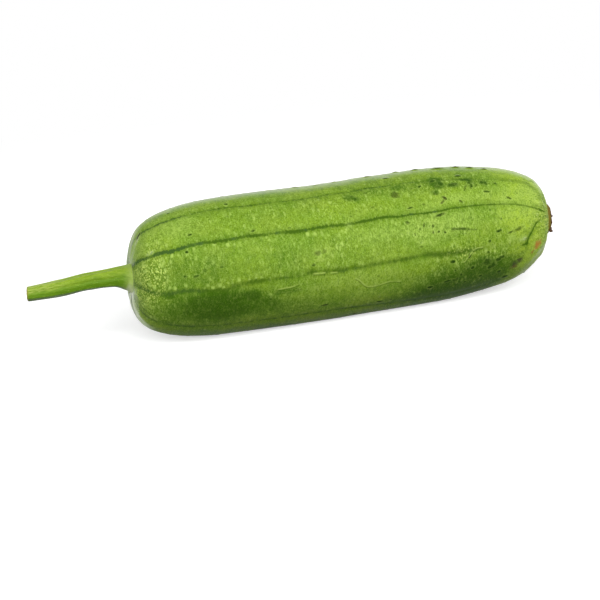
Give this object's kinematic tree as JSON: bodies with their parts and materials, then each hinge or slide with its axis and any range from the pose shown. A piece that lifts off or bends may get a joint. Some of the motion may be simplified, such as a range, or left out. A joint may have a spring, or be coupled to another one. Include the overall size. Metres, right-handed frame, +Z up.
{
  "type": "sponge gourd",
  "caption": "Whole sponge gourd as picked: a long blunt green fruit with thin dark lines, a short cut stem and a dry blossom scar, lying on its side.",
  "frame": {"origin": "on the surface that the gourd rests on, under the middle of the whole", "axes": "+X from the stem towards the blossom scar, +Z up, +Y to the gourd's left"},
  "size_m": [0.3202, 0.0806, 0.0795],
  "materials": {
    "green_skin": "satin, waxy green skin with darker lines along it",
    "green_stalk": "satin, fresh green stalk",
    "dry_scar": "dry, rough brown cork"
  },
  "bodies": {
    "root": {"fruit_body": "green_skin", "stem": "green_stalk", "blossom_scar": "dry_scar"}
  },
  "joints": []
}
